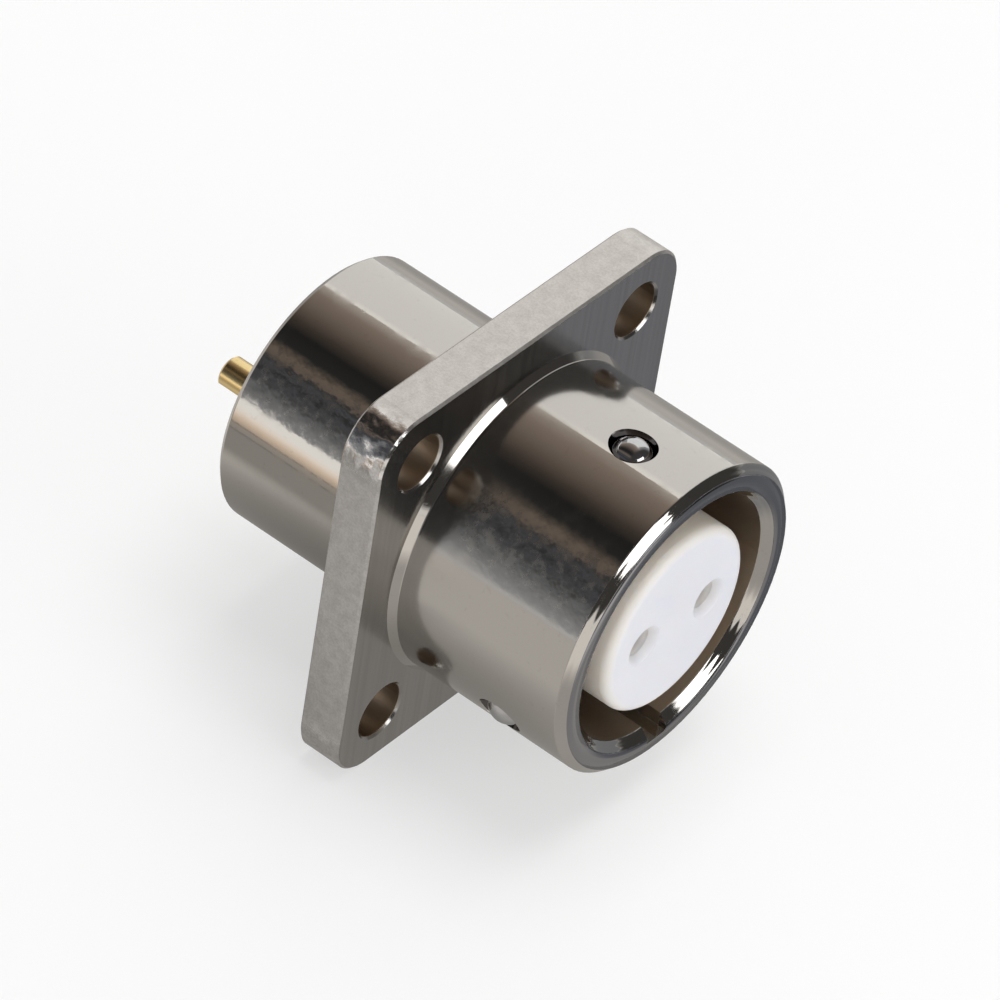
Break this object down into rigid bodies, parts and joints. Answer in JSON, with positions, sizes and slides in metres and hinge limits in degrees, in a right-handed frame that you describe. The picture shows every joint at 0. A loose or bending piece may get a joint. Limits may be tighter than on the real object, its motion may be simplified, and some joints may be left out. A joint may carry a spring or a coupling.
{
  "type": "circular connector receptacle",
  "caption": "Panel-mount circular receptacle: square flange, front barrel with locking studs and keyway, white insulator with socket contacts, solder cups behind.",
  "frame": {"origin": "centre of the flange's seating face, which lies against the panel", "axes": "+Y along the mating axis towards the solder cups, -Y towards the plug, +Z to the stud at twelve o'clock"},
  "size_m": [0.02, 0.0237, 0.02],
  "materials": {
    "nickel_plate": "polished nickel plate, satin on the flange's edges",
    "stud_steel": "polished",
    "white_insulator": "satin",
    "gold_plate": "gold plate, satin",
    "spring_steel": "satin"
  },
  "bodies": {
    "root": {"shell": "nickel_plate", "locking_stud_1": "stud_steel", "locking_stud_2": "stud_steel", "locking_stud_3": "stud_steel", "front_insulator": "white_insulator", "rear_insulator": "white_insulator", "contact_left": "gold_plate", "contact_right": "gold_plate", "contact_hood_left": "spring_steel", "contact_hood_right": "spring_steel", "retaining_ring": "spring_steel"}
  },
  "joints": []
}
